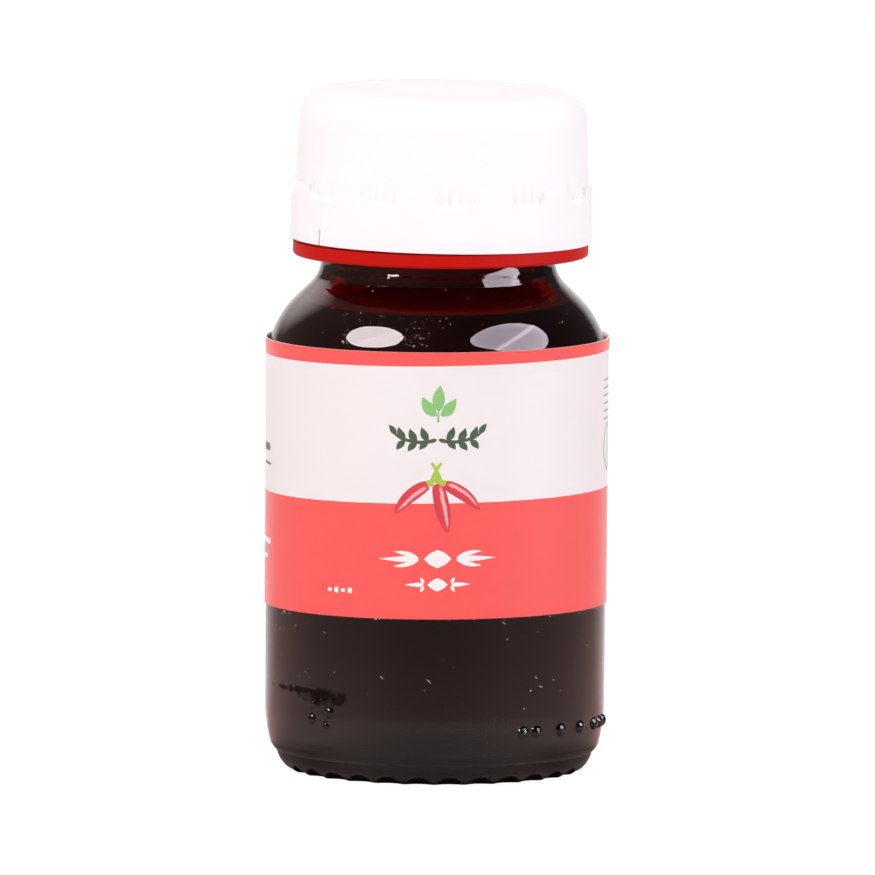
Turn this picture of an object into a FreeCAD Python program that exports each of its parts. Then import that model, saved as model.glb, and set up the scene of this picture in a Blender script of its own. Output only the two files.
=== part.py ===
import FreeCAD, Part
import math
import os

# Small round bottle of chilli oil: amber glass, the oil inside it, a wrap
# label and a two-part screw closure (white outer shell, red tamper band).
#
# Frame: origin at the middle of the base on the surface it stands on, +Z up,
# +X to the label's right, and the label's front facing -Y.
# Units are millimetres and degrees.  Angles called "turn" are counted about
# +Z from the front (-Y) towards the right (+X).

# ---- overall ---------------------------------------------------------------
TOTAL_HEIGHT = 70.0
BODY_RADIUS = 17.5
NECK_RADIUS = 12.0

# ---- glass: outside --------------------------------------------------------
BEARING_INNER_RADIUS = 12.2      # flat ring that the bottle stands on
BEARING_OUTER_RADIUS = 14.75
PUSH_UP_HEIGHT = 1.3             # hollow under the base
HEEL_MIDDLE = (15.68, 0.74)      # radius and height on the rounded heel
SEAM_RADIUS = 16.26              # where the base plate of the mould meets the body
SEAM_HEIGHT = 2.0
SEAM_STEP = 0.06
CORNER_MIDDLE = (16.70, 2.43)    # on the small rounding above the seam
CORNER_TOP = (16.94, 2.95)
HEEL_TOP = 7.0                   # height where the straight wall starts
SHOULDER_START = 42.0
SHOULDER_ROUNDING = 9.4
NECK_BLEND_HEIGHT = 52.9         # where the straight neck starts
NECK_BLEND_ROUNDING = 3.75

# ---- glass: inside ---------------------------------------------------------
WALL = 2.4
NECK_WALL = 2.4
FLOOR_CENTRE_HEIGHT = 4.6
FLOOR_EDGE_HEIGHT = 3.7
INNER_HEEL_ROUNDING = 4.0

# ---- glass: finish under the closure ---------------------------------------
BEAD_RADIUS = 13.6
BEAD_BOTTOM = 55.6
BEAD_TOP = 57.8
FINISH_RADIUS = 12.6
LIP_HEIGHT = 68.5
LIP_ROUNDING = 0.8

# ---- glass: relief ---------------------------------------------------------
SCALLOP_COUNT = 30
SCALLOP_FIRST_TURN = 6.0
SCALLOP_INNER_RADIUS = 14.15     # where the deepest line of a flute leaves the base
SCALLOP_RISE = 30.0              # how steeply that line climbs outwards
SCALLOP_DEPTH = 0.3              # at the base's outer edge
SCALLOP_HALF_WIDTH = 1.4
DOT_DIAMETER = 1.3
DOT_BULGE = 0.29                 # height of a dot as a share of its diameter
DOT_ROW_HEIGHT = 5.47
DOT_ROW_START = 31.5             # turn of the first place in the row
DOT_PITCH = 5.5                  # degrees from place to place
DOT_ROW = "1101010111"           # places that hold a dot
MARK_DOTS = [                    # turn, height and diameter on the other side
    (-45.4, 8.00, 0.95),
    (-38.3, 7.27, 1.25),
    (-46.1, 6.44, 1.20),
    (-39.6, 5.88, 0.80),
]

# ---- oil -------------------------------------------------------------------
OIL_LEVEL = 47.7
MENISCUS = 0.7

# ---- label -----------------------------------------------------------------
LABEL_THICKNESS = 0.12
LABEL_BOTTOM = 17.38
LABEL_TOP = 44.82
LABEL_FLARE_START = 42.4
LABEL_FLARE = 0.12               # how far the free top edge leans out
LABEL_SKEW = 0.43                # left-hand side sits lower
LABEL_GAP = 6.0                  # bare strip at the back, between the ends

# ---- tamper band -----------------------------------------------------------
BAND_RADIUS = 15.2
BAND_BOTTOM = 53.23
BAND_SHOULDER = 54.62
BAND_TOP = 55.40
BAND_NOSE_RADIUS = 14.1
BAND_WALL = 1.0
BAND_CATCH_CLEARANCE = 0.02       # the band lies against one side of the neck
BAND_CATCH_BOTTOM = 54.3
BAND_EDGE_ROUNDING = 0.3
BAND_LEAN = 0.36                 # it leans a little, and this turn sits lowest
BAND_LEAN_TURN = 16.0
BAND_SHIFT = 0.25                # to the right of the bottle's axis

# ---- outer shell of the closure ---------------------------------------------
SHELL_BOTTOM = 54.64
SHELL_MOUTH_RADIUS = 15.30
SHELL_MOUTH_TOP = 55.60
SKIRT_RADIUS = 15.50
SKIRT_TOP_RADIUS = 15.42
SKIRT_INNER_RADIUS = 14.45
LEDGE_HEIGHT = 60.68
LEDGE_ROUNDING = 0.25
GRIP_RADIUS = 15.0
GRIP_TOP_RADIUS = 14.75
GRIP_INNER_RADIUS = 13.7
GRIP_INNER_BOTTOM = 58.6
TOP_ROUNDING = 3.0
TOP_THICKNESS = 1.5
INNER_CORNER = 0.5
WINDOW_COUNT = 12
WINDOW_FIRST_TURN = 5.5
WINDOW_WIDTH = 4.4
WINDOW_FLOOR = 59.62             # height of the floor where it meets the grip wall
WINDOW_FALL = 1.1                # the floor falls outwards: rise over run
WINDOW_CORNER = 0.5
FLUTES_PER_WINDOW = 4
FLUTE_PITCH = 3.9
FLUTE_RADIUS = 0.38
FLUTE_FOOT_AXIS = 15.20          # axis radius at the window's floor
FLUTE_RUN_OUT = 62.4             # height where a flute fades into the wall
SLIT_COUNT = 2
SLIT_FIRST_TURN = -53.6
SLIT_WIDTH = 0.25
SLIT_HEIGHT = 1.6
SHELL_LEAN = 0.87                # the shell leans too, and this turn sits lowest
SHELL_LEAN_TURN = 65.0
SHELL_SHIFT = 0.45

ORIGIN = FreeCAD.Vector(0, 0, 0)
AXIS_X = FreeCAD.Vector(1, 0, 0)
AXIS_Y = FreeCAD.Vector(0, 1, 0)
AXIS_Z = FreeCAD.Vector(0, 0, 1)
FULL_TURN = 360.0


# ---- helpers -----------------------------------------------------------------
def at(radius, height):
    """A point of a half section, drawn in the plane that holds +X and +Z."""
    return FreeCAD.Vector(radius, 0, height)


def around(turn, radius, height):
    """A point at a turn from the front, a distance from the axis and a height."""
    angle = math.radians(turn)
    return FreeCAD.Vector(radius * math.sin(angle), -radius * math.cos(angle), height)


def line(start, end):
    return Part.LineSegment(at(*start), at(*end)).toShape()


def arc(start, middle, end):
    return Part.Arc(at(*start), at(*middle), at(*end)).toShape()


def arc_about(centre, radius, start_angle, end_angle):
    """An arc of a half section, from its centre, radius and two angles above level."""
    points = []
    for angle in (start_angle, (start_angle + end_angle) / 2, end_angle):
        turn = math.radians(angle)
        x = centre[0] + radius * math.cos(turn)
        z = centre[1] + radius * math.sin(turn)
        points.append((x, z))
    return arc(*points)


def chain(points):
    """Straight edges through the points, in order."""
    return [line(start, end) for start, end in zip(points, points[1:])]


def turned(edges):
    """The solid swept by a closed half section in one turn about the axis."""
    face = Part.Face(Part.Wire(edges))
    return face.revolve(ORIGIN, AXIS_Z, FULL_TURN)


def leaned(shape, pivot, turn, degrees):
    """The shape leaned about a level line through the pivot, its side at the turn down."""
    angle = math.radians(turn)
    hinge = FreeCAD.Vector(math.cos(angle), math.sin(angle), 0)
    leaning = shape.copy()
    leaning.rotate(pivot, hinge, degrees)
    return leaning


def place_round(shape, turn):
    """A copy of a tool that was made at the front, carried round to a turn."""
    copy = shape.copy()
    copy.rotate(ORIGIN, AXIS_Z, turn)
    return copy


# ---- shoulder, shared by the outside and the inside of the glass ----------------
def shoulder_edges(body_radius, neck_radius, convex_rounding, concave_rounding):
    """Edges from the straight wall to the straight neck.

    A convex arc leaves the wall, a concave arc enters the neck, and a straight
    flank touches both.  The flank's outward direction is the one whose distance
    between the two arc centres is the sum of the roundings.
    """
    low = (body_radius - convex_rounding, SHOULDER_START)
    high = (neck_radius + concave_rounding, NECK_BLEND_HEIGHT)
    run = high[0] - low[0]
    rise = high[1] - low[1]
    reach = math.hypot(run, rise)
    spread = math.acos((convex_rounding + concave_rounding) / reach)
    flank = math.degrees(math.atan2(rise, run) - spread)
    convex = arc_about(low, convex_rounding, 0, flank)
    concave = arc_about(high, concave_rounding, 180 + flank, 180)
    joint = Part.LineSegment(convex.Vertexes[-1].Point, concave.Vertexes[0].Point)
    return [convex, joint.toShape(), concave]


# ---- glass bottle -----------------------------------------------------------------
def glass_outside():
    """The bottle's outer form, closed along the axis."""
    push_up_edge = (BEARING_INNER_RADIUS, 0)
    push_up_middle = (BEARING_INNER_RADIUS / 2, PUSH_UP_HEIGHT * 0.8)
    seam = (SEAM_RADIUS, SEAM_HEIGHT)
    seam_lip = (SEAM_RADIUS + SEAM_STEP, SEAM_HEIGHT + SEAM_STEP / 2)
    heel_drop = HEEL_TOP - CORNER_TOP[1]
    heel_inset = BODY_RADIUS - CORNER_TOP[0]
    heel_rounding = (heel_drop ** 2 + heel_inset ** 2) / (2 * heel_inset)
    heel_angle = math.degrees(math.asin(heel_drop / heel_rounding))
    heel_centre = (BODY_RADIUS - heel_rounding, HEEL_TOP)
    bead_chamfer = (BEAD_RADIUS - NECK_RADIUS) / 2
    bead_slope = BEAD_RADIUS - FINISH_RADIUS
    finish = [
        (NECK_RADIUS, NECK_BLEND_HEIGHT),
        (NECK_RADIUS, BEAD_BOTTOM),
        (BEAD_RADIUS, BEAD_BOTTOM + bead_chamfer),
        (BEAD_RADIUS, BEAD_TOP - bead_slope / 2),
        (FINISH_RADIUS, BEAD_TOP),
        (FINISH_RADIUS, LIP_HEIGHT - LIP_ROUNDING),
    ]
    lip_centre = (FINISH_RADIUS - LIP_ROUNDING, LIP_HEIGHT - LIP_ROUNDING)
    edges = [
        arc((0, PUSH_UP_HEIGHT), push_up_middle, push_up_edge),
        line(push_up_edge, (BEARING_OUTER_RADIUS, 0)),
        arc((BEARING_OUTER_RADIUS, 0), HEEL_MIDDLE, seam),
        line(seam, seam_lip),
        arc(seam_lip, CORNER_MIDDLE, CORNER_TOP),
        arc_about(heel_centre, heel_rounding, -heel_angle, 0),
        line((BODY_RADIUS, HEEL_TOP), (BODY_RADIUS, SHOULDER_START)),
    ]
    edges += shoulder_edges(BODY_RADIUS, NECK_RADIUS, SHOULDER_ROUNDING, NECK_BLEND_ROUNDING)
    edges += chain(finish)
    edges.append(arc_about(lip_centre, LIP_ROUNDING, 0, 90))
    edges += chain([(lip_centre[0], LIP_HEIGHT), (0, LIP_HEIGHT), (0, PUSH_UP_HEIGHT)])
    return turned(edges)


def glass_cavity():
    """The space inside the bottle, from its floor to its mouth."""
    inner = BODY_RADIUS - WALL
    bore = NECK_RADIUS - NECK_WALL
    heel_centre = (inner - INNER_HEEL_ROUNDING, FLOOR_EDGE_HEIGHT + INNER_HEEL_ROUNDING)
    floor_edge = (heel_centre[0], FLOOR_EDGE_HEIGHT)
    floor_middle = (heel_centre[0] / 2, FLOOR_EDGE_HEIGHT + (FLOOR_CENTRE_HEIGHT - FLOOR_EDGE_HEIGHT) * 0.75)
    edges = [
        arc((0, FLOOR_CENTRE_HEIGHT), floor_middle, floor_edge),
        arc_about(heel_centre, INNER_HEEL_ROUNDING, -90, 0),
        line((inner, heel_centre[1]), (inner, SHOULDER_START)),
    ]
    edges += shoulder_edges(inner, bore, SHOULDER_ROUNDING - WALL, NECK_BLEND_ROUNDING + NECK_WALL)
    mouth = [(bore, NECK_BLEND_HEIGHT), (bore, LIP_HEIGHT), (0, LIP_HEIGHT), (0, FLOOR_CENTRE_HEIGHT)]
    edges += chain(mouth)
    return turned(edges)


def heel_scallops():
    """Round bars that climb outwards under the heel and cut a ring of arched flutes."""
    bar_radius = (SCALLOP_HALF_WIDTH ** 2 + SCALLOP_DEPTH ** 2) / (2 * SCALLOP_DEPTH)
    rise = math.radians(SCALLOP_RISE)
    climb = FreeCAD.Vector(0, -math.cos(rise), math.sin(rise))
    under = FreeCAD.Vector(0, -math.sin(rise), -math.cos(rise))
    middle = around(0, SCALLOP_INNER_RADIUS, 0) + under * bar_radius
    bar = Part.makeCylinder(bar_radius, 8, middle - climb * 3, climb)
    bars = []
    for index in range(SCALLOP_COUNT):
        turn = SCALLOP_FIRST_TURN + index * FULL_TURN / SCALLOP_COUNT
        bars.append(place_round(bar, turn))
    return bars


def glass_dot(turn, height, diameter):
    """A low dome on the wall: the top of a ball that is sunk into the glass."""
    half_width = diameter / 2
    bulge = diameter * DOT_BULGE
    ball_radius = (half_width ** 2 + bulge ** 2) / (2 * bulge)
    sunk = BODY_RADIUS + bulge - ball_radius
    ball = Part.makeSphere(ball_radius, around(0, sunk, height), -AXIS_Y)
    return place_round(ball, turn)


def glass_dots():
    """The row of dots near the heel, and the maker's four dots on the other side."""
    dots = []
    for place, filled in enumerate(DOT_ROW):
        if filled == "1":
            turn = DOT_ROW_START + place * DOT_PITCH
            dots.append(glass_dot(turn, DOT_ROW_HEIGHT, DOT_DIAMETER))
    for turn, height, diameter in MARK_DOTS:
        dots.append(glass_dot(turn, height, diameter))
    return dots


def glass_bottle():
    body = glass_outside().fuse(glass_dots())
    body = body.cut(heel_scallops())
    return body.cut(glass_cavity())


# ---- oil ------------------------------------------------------------------------
def chili_oil():
    """The cavity up to the oil's level, with the oil drawn up along the glass."""
    rise = OIL_LEVEL - SHOULDER_START
    inner_rounding = SHOULDER_ROUNDING - WALL
    wall_radius = BODY_RADIUS - SHOULDER_ROUNDING + math.sqrt(inner_rounding ** 2 - rise ** 2)
    flat_radius = wall_radius - MENISCUS
    crest = OIL_LEVEL + MENISCUS
    edges = chain([(0, 0), (0, OIL_LEVEL), (flat_radius, OIL_LEVEL)])
    edges.append(arc_about((flat_radius, crest), MENISCUS, -90, 0))
    edges += chain([(wall_radius, crest), (BODY_RADIUS, crest), (BODY_RADIUS, 0), (0, 0)])
    return glass_cavity().common(turned(edges))


# ---- label ----------------------------------------------------------------------
def label():
    """A paper wrap on the straight wall, cut a little askew, its top edge free."""
    inner = BODY_RADIUS
    outer = BODY_RADIUS + LABEL_THICKNESS
    low = LABEL_BOTTOM - WALL
    high = LABEL_TOP + WALL
    lean = LABEL_FLARE * (high - LABEL_FLARE_START) / (LABEL_TOP - LABEL_FLARE_START)
    tube = turned(chain([
        (inner, low),
        (inner, LABEL_FLARE_START),
        (inner + lean, high),
        (outer + lean, high),
        (outer, LABEL_FLARE_START),
        (outer, low),
        (inner, low),
    ]))
    reach = BODY_RADIUS * 3
    slab_height = LABEL_TOP - LABEL_BOTTOM
    slab = Part.makeBox(reach, reach, slab_height, FreeCAD.Vector(-reach / 2, -reach / 2, LABEL_BOTTOM))
    middle = FreeCAD.Vector(0, 0, (LABEL_BOTTOM + LABEL_TOP) / 2)
    slab = leaned(slab, middle, -90, LABEL_SKEW)
    gap = Part.makeBox(LABEL_GAP, reach, TOTAL_HEIGHT, FreeCAD.Vector(-LABEL_GAP / 2, 0, 0))
    return tube.common(slab).cut(gap)


# ---- tamper band ----------------------------------------------------------------
def tamper_ring():
    """The red band: a plain ring with a nose that tucks into the shell's mouth
    and an inward catch under the bead of the glass."""
    inner = BAND_RADIUS - BAND_WALL
    catch = NECK_RADIUS + BAND_SHIFT + BAND_CATCH_CLEARANCE
    rounding_centre = (BAND_RADIUS - BAND_EDGE_ROUNDING, BAND_BOTTOM + BAND_EDGE_ROUNDING)
    edges = chain([
        (rounding_centre[0], BAND_BOTTOM),
        (inner, BAND_BOTTOM),
        (inner, BAND_CATCH_BOTTOM - BAND_EDGE_ROUNDING),
        (catch, BAND_CATCH_BOTTOM),
        (catch, BAND_TOP - BAND_EDGE_ROUNDING),
        (catch + BAND_EDGE_ROUNDING, BAND_TOP),
        (BAND_NOSE_RADIUS, BAND_TOP),
        (BAND_RADIUS, BAND_SHOULDER),
        (BAND_RADIUS, rounding_centre[1]),
    ])
    edges.append(arc_about(rounding_centre, BAND_EDGE_ROUNDING, 0, -90))
    ring = turned(edges)
    ring.translate(AXIS_X * BAND_SHIFT)
    pivot = FreeCAD.Vector(BAND_SHIFT, 0, BAND_BOTTOM)
    return leaned(ring, pivot, BAND_LEAN_TURN, BAND_LEAN)


# ---- outer shell ------------------------------------------------------------------
def shell_body():
    """The shell's half section turned round: wide skirt, ledge, grip wall, domed edge."""
    underside = TOTAL_HEIGHT - TOP_THICKNESS
    corner_centre = (GRIP_TOP_RADIUS - TOP_ROUNDING, TOTAL_HEIGHT - TOP_ROUNDING)
    ledge_outer = (SKIRT_TOP_RADIUS - LEDGE_ROUNDING, LEDGE_HEIGHT)
    ledge_centre = (ledge_outer[0], LEDGE_HEIGHT - LEDGE_ROUNDING)
    edges = chain([
        (0, TOTAL_HEIGHT),
        (0, underside),
        (GRIP_INNER_RADIUS - INNER_CORNER, underside),
        (GRIP_INNER_RADIUS, underside - INNER_CORNER),
        (GRIP_INNER_RADIUS, GRIP_INNER_BOTTOM),
        (SKIRT_INNER_RADIUS, GRIP_INNER_BOTTOM - (SKIRT_INNER_RADIUS - GRIP_INNER_RADIUS)),
        (SKIRT_INNER_RADIUS, SHELL_MOUTH_TOP),
        (SHELL_MOUTH_RADIUS, SHELL_BOTTOM),
        (SKIRT_RADIUS, SHELL_BOTTOM),
        (SKIRT_TOP_RADIUS, ledge_centre[1]),
    ])
    edges.append(arc_about(ledge_centre, LEDGE_ROUNDING, 0, 90))
    edges += chain([ledge_outer, (GRIP_RADIUS, LEDGE_HEIGHT), (GRIP_TOP_RADIUS, corner_centre[1])])
    edges.append(arc_about(corner_centre, TOP_ROUNDING, 0, 90))
    edges.append(line((corner_centre[0], TOTAL_HEIGHT), (0, TOTAL_HEIGHT)))
    return turned(edges)


def window_tools():
    """Blocks that open the skirt's upper edge down to the grip wall, one per window.

    The floor of a block falls outwards, so the skirt is left with a sloped sill.
    """
    inner = GRIP_RADIUS - 1.0
    outer = SKIRT_RADIUS + 1.0
    top = LEDGE_HEIGHT + 1.0
    section = [
        (inner, top),
        (inner, WINDOW_FLOOR + WINDOW_FALL * (GRIP_RADIUS - inner)),
        (outer, WINDOW_FLOOR - WINDOW_FALL * (outer - GRIP_RADIUS)),
        (outer, top),
        (inner, top),
    ]
    side = [FreeCAD.Vector(-WINDOW_WIDTH / 2, -radius, height) for radius, height in section]
    block = Part.Face(Part.makePolygon(side)).extrude(AXIS_X * WINDOW_WIDTH)
    corners = [edge for edge in block.Edges if is_sloped_edge(edge)]
    block = block.makeFillet(WINDOW_CORNER, corners)
    outside = Part.makeCylinder(outer + 1.0, TOTAL_HEIGHT)
    collar = outside.cut(Part.makeCylinder(GRIP_RADIUS, TOTAL_HEIGHT))
    tool = block.common(collar)
    tools = []
    for index in range(WINDOW_COUNT):
        tools.append(place_round(tool, window_turn(index)))
    return tools


def is_sloped_edge(edge):
    """True for the two edges of a window block that run outwards and down."""
    start, end = (vertex.Point for vertex in edge.Vertexes)
    return abs(start.y - end.y) > 1e-6 and abs(start.z - end.z) > 1e-6


def window_turn(index):
    return WINDOW_FIRST_TURN + index * FULL_TURN / WINDOW_COUNT


def flute_tools():
    """Round bars that lean outwards, so each flute is deepest at its foot and fades."""
    foot = around(0, FLUTE_FOOT_AXIS, WINDOW_FLOOR)
    head = around(0, GRIP_RADIUS + FLUTE_RADIUS, FLUTE_RUN_OUT)
    climb = head - foot
    bar = Part.makeCylinder(FLUTE_RADIUS, climb.Length * 2, foot - climb, climb)
    bar = bar.common(Part.makeBox(4, 4, 8, FreeCAD.Vector(-2, -GRIP_RADIUS - 2, WINDOW_FLOOR)))
    tools = []
    first = -(FLUTES_PER_WINDOW - 1) / 2
    for index in range(WINDOW_COUNT):
        for step in range(FLUTES_PER_WINDOW):
            turn = window_turn(index) + (first + step) * FLUTE_PITCH
            tools.append(place_round(bar, turn))
    return tools


def slit_tools():
    """Thin blades that cut upwards into the skirt's lower edge."""
    corner = FreeCAD.Vector(-SLIT_WIDTH / 2, -SKIRT_RADIUS - 1, SHELL_BOTTOM - 1)
    blade = Part.makeBox(SLIT_WIDTH, 3, SLIT_HEIGHT + 1, corner)
    tools = []
    for index in range(SLIT_COUNT):
        tools.append(place_round(blade, SLIT_FIRST_TURN + index * FULL_TURN / SLIT_COUNT))
    return tools


def cap_shell():
    shell = shell_body().cut(window_tools())
    shell = shell.cut(flute_tools())
    shell = shell.cut(slit_tools())
    shell.translate(AXIS_X * SHELL_SHIFT)
    lip_edge = around(SHELL_LEAN_TURN, FINISH_RADIUS - LIP_ROUNDING, LIP_HEIGHT)
    return leaned(shell, lip_edge, SHELL_LEAN_TURN, SHELL_LEAN)


# ---- write one file for each piece ----------------------------------------------
NODES = {
    "glass_bottle": glass_bottle,
    "chili_oil": chili_oil,
    "label": label,
    "tamper_ring": tamper_ring,
    "cap_shell": cap_shell,
}

os.makedirs("parts", exist_ok=True)
for name, make in NODES.items():
    solid = make().Solids[0]
    solid.exportStep(os.path.join("parts", name + ".step"))
    print(name, "volume", round(solid.Volume), "mm3")
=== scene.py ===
import math

import bmesh
import bpy
import numpy as np
from mathutils import Matrix, Vector


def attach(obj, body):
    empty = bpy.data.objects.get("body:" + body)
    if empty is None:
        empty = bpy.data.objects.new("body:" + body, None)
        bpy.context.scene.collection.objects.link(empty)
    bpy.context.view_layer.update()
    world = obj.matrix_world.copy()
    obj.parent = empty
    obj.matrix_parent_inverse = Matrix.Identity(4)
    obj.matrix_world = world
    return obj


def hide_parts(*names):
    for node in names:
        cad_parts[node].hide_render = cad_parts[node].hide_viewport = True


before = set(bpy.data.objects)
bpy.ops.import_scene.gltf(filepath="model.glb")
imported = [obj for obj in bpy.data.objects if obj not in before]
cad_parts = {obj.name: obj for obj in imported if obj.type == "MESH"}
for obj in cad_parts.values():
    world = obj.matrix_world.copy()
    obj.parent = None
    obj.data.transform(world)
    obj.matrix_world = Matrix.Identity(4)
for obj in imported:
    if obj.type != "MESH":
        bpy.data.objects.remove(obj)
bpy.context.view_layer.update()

# Looks of a small bottle of chilli oil: the oil itself, the label's print, the
# dust of handling, every finish, and a plain studio to see it in.
#
# The frame is the part's own: the bottle stands at the origin, +Z is up and the
# label faces -Y.  Shapes are worked out in millimetres and written in metres.
# A "turn" is an angle about +Z from the front (-Y) towards the right (+X).

bl_info = {
    "name": "Chilli Oil Bottle Looks",
    "version": (1, 0, 0),
    "blender": (4, 5, 0),
    "location": "View3D > Sidebar > Bottle",
    "description": "Oil, label print, finishes and studio for a small amber bottle",
    "category": "Add Mesh",
}

MM = 0.001
BODY = "root"
GLASS, OIL, PAPER = "glass_bottle", "chili_oil", "label"
BAND, SHELL = "tamper_ring", "cap_shell"
WHITE, BLACK = (1.0, 1.0, 1.0), (0.0, 0.0, 0.0)
LEVEL = (1.0, 1.0, 0.0)
FULL_TURN = 2.0 * math.pi
STEPS, SEED = 17, 11

# Places on the part, in millimetres and radians.  The shell stands to the right by its
# shift, and no dust lies between the label's two heights.
SHELL_SHIFT, SKIRT_RADIUS = 0.45, 15.5
SLIT_TURN, SLIT_TOP = math.radians(-53.6), 56.5
LABEL_LOW, LABEL_HIGH = 17.36, 45.0
# The heel before its hollows were cut: radius = foot + gain * height ^ power.
HEEL_FOOT, HEEL_GAIN, HEEL_POWER = 14.75, 1.077, 0.4875
# Ovals of a dark patch in front: side, height, half width and half height.
DARK_PATCH = ((-11.3, 8.75, 2.3, 0.85), (-13.6, 9.25, 2.6, 0.34))


# ---- settings ----
def measure(name, about, value, low=0.0, high=1.0):
    """A length property, kept in metres."""
    return bpy.props.FloatProperty(
        name=name, description=about, default=value, min=low, max=high,
        precision=5, subtype="DISTANCE", unit="LENGTH",
    )


def share(name, about, value, high=1.0):
    """A plain number from nought upwards."""
    return bpy.props.FloatProperty(name=name, description=about, default=value, min=0.0, max=high)


def angle(name, about, degrees):
    """An angle property, kept in radians and given in degrees."""
    return bpy.props.FloatProperty(
        name=name, description=about, default=math.radians(degrees), subtype="ANGLE", unit="ROTATION",
    )


def colour(name, about, value):
    """A linear colour of three parts."""
    return bpy.props.FloatVectorProperty(
        name=name, description=about, default=value, size=3, min=0.0, max=1.0, subtype="COLOR",
    )


class GlassSettings(bpy.types.PropertyGroup):
    """Sizes and colours of the amber glass."""

    tint: colour("Tint", "Colour that light keeps on its way through the glass", (0.66, 0.22, 0.14))
    density: share("Density", "How strongly each metre of glass absorbs", 1800.0, 10000.0)
    roughness: share("Roughness", "Micro roughness of clean glass", 0.015)
    body_radius: measure("Body radius", "Outer radius of the straight wall", 17.5 * MM)
    body_round: measure("Shoulder rounding", "Outer radius of the shoulder's convex arc", 9.4 * MM)
    neck_round: measure("Neck rounding", "Outer radius of the concave arc under the neck", 3.75 * MM)
    neck_radius: measure("Neck radius", "Outer radius of the neck", 12.0 * MM)
    shoulder_start: measure("Shoulder start", "Height where the shoulder leaves the wall", 42.0 * MM)
    neck_start: measure("Neck start", "Height where the shoulder meets the neck", 52.9 * MM)
    wall: measure("Wall", "Thickness of the glass", 2.4 * MM)


class OilSettings(bpy.types.PropertyGroup):
    """The oil's level and colours."""

    deep: colour("Deep oil", "Colour of the oil against the glass", (0.118, 0.015, 0.015))
    bright: colour("Bright oil", "Colour where light comes through the surface", (0.95, 0.50, 0.60))
    step: share("Optical step", "The oil's index over the glass's, which is nearly one", 1.06, 2.0)
    level: measure("Level", "Height of the flat surface", 47.7 * MM)
    creep: measure("Creep", "How far the oil climbs the glass at its edge", 0.7 * MM)
    bite: measure("Bite", "How far the oil reaches into the wall, so no air shows", 0.15 * MM)
    floor_edge: measure("Floor edge", "Height of the glass floor at its edge", 3.7 * MM)
    floor_centre: measure("Floor centre", "Height of the glass floor in the middle", 4.6 * MM)
    heel_round: measure("Inner heel", "Rounding between the floor and the wall", 4.0 * MM)


class LabelSettings(bpy.types.PropertyGroup):
    """The paper wrap and its fields of colour."""

    coral: colour("Coral", "Printed coral field and stripe", (0.95, 0.105, 0.098))
    white: colour("White", "Coated paper where nothing is printed", (0.885, 0.828, 0.826))
    core: colour("Core", "Bare paper on the cut edges", (0.93, 0.90, 0.88))
    stripe_low: measure("Stripe", "Height of the coral stripe's lower edge", 43.41 * MM)
    field_top: measure("Field", "Height of the coral field's upper edge", 29.31 * MM)
    radius: measure("Label radius", "Outer radius of the wrapped paper", 17.62 * MM)
    skew: angle("Print skew", "Lean of the print, right-hand side higher", 1.06)
    roughness: share("Roughness", "Roughness of the coated paper", 0.27)


class PrintSettings(bpy.types.PropertyGroup):
    """Inks of the small ornaments."""

    leaf: colour("Leaf green", "Light green of the sprig", (0.28, 0.57, 0.20))
    garland: colour("Garland green", "Dark green of the garland", (0.075, 0.125, 0.068))
    chilli: colour("Chilli red", "Body of the printed chillies", (0.80, 0.055, 0.075))
    glint: colour("Chilli glint", "Pale streak on the printed chillies", (0.94, 0.50, 0.52))
    stem: colour("Stem green", "Stems of the printed chillies", (0.44, 0.58, 0.08))
    rule: colour("Rule white", "White ornaments on the coral field", (0.93, 0.86, 0.84))
    lift: measure("Ink lift", "How far the ink stands on the paper", 0.012 * MM)


class ClosureSettings(bpy.types.PropertyGroup):
    """The white shell and the red band."""

    red: colour("Band red", "Moulded red plastic", (0.54, 0.004, 0.001))
    white: colour("Shell white", "Moulded white plastic", (0.93, 0.905, 0.915))
    red_roughness: share("Band roughness", "Roughness of the red plastic", 0.42)
    white_roughness: share("Shell roughness", "Roughness of the white plastic", 0.55)


class DustSettings(bpy.types.PropertyGroup):
    """Specks and fibres left by handling."""

    tone: colour("Dust", "Warm pale tone of the specks", (0.95, 0.64, 0.54))
    specks: bpy.props.IntProperty(
        name="Specks", description="How many specks lie on the glass", default=374, min=0, max=2000,
    )
    largest: measure("Largest", "Half width that each group's largest speck is a share of", 0.085 * MM)


class StudioSettings(bpy.types.PropertyGroup):
    """Camera, lamps, reflector cards and floor."""

    distance: measure("Camera distance", "From the lens to the middle of the bottle", 2.35, 0.1, 10.0)
    elevation: angle("Camera elevation", "Height of the camera above level", 5.97)
    roll: angle("Camera roll", "Turn of the camera about its own axis", 0.46)
    lens: bpy.props.FloatProperty(
        name="Lens", description="Focal length in millimetres", default=939.0, min=10.0, max=2000.0,
        subtype="DISTANCE_CAMERA",
    )
    aim_height: measure("Aim height", "Height of the point at the frame's centre", 34.26 * MM)
    aim_side: measure("Aim side", "Sideways place of the point at the frame's centre", 0.08 * MM, -1.0)
    lamp_distance: measure("Lamp distance", "From the bottle to each lamp", 1.2, 0.1, 10.0)
    left_level: share("Left level", "Radiance of the left lamp", 6.1, 100.0)
    right_level: share("Right level", "Radiance of the right lamp", 2.75, 100.0)
    left_card: share("Left card", "Radiance of the left softbox as gloss shows it", 21.0, 100.0)
    right_card: share("Right card", "Radiance of the right softbox as gloss shows it", 13.6, 100.0)


# ---- meshes ----
def grid_quads(rows, columns, closed):
    """Corner numbers of a grid's faces.

    Each face joins a place to its neighbours one column on and one row on, so it
    looks along (step over columns) x (step over rows).  In a closed grid the
    last column joins the first.
    """
    number = np.arange(rows * columns).reshape(rows, columns)
    if closed:
        number = np.hstack([number, number[:, :1]])
    corners = [number[:-1, :-1], number[:-1, 1:], number[1:, 1:], number[1:, :-1]]
    return np.stack(corners, axis=-1).reshape(-1, 4)


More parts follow.
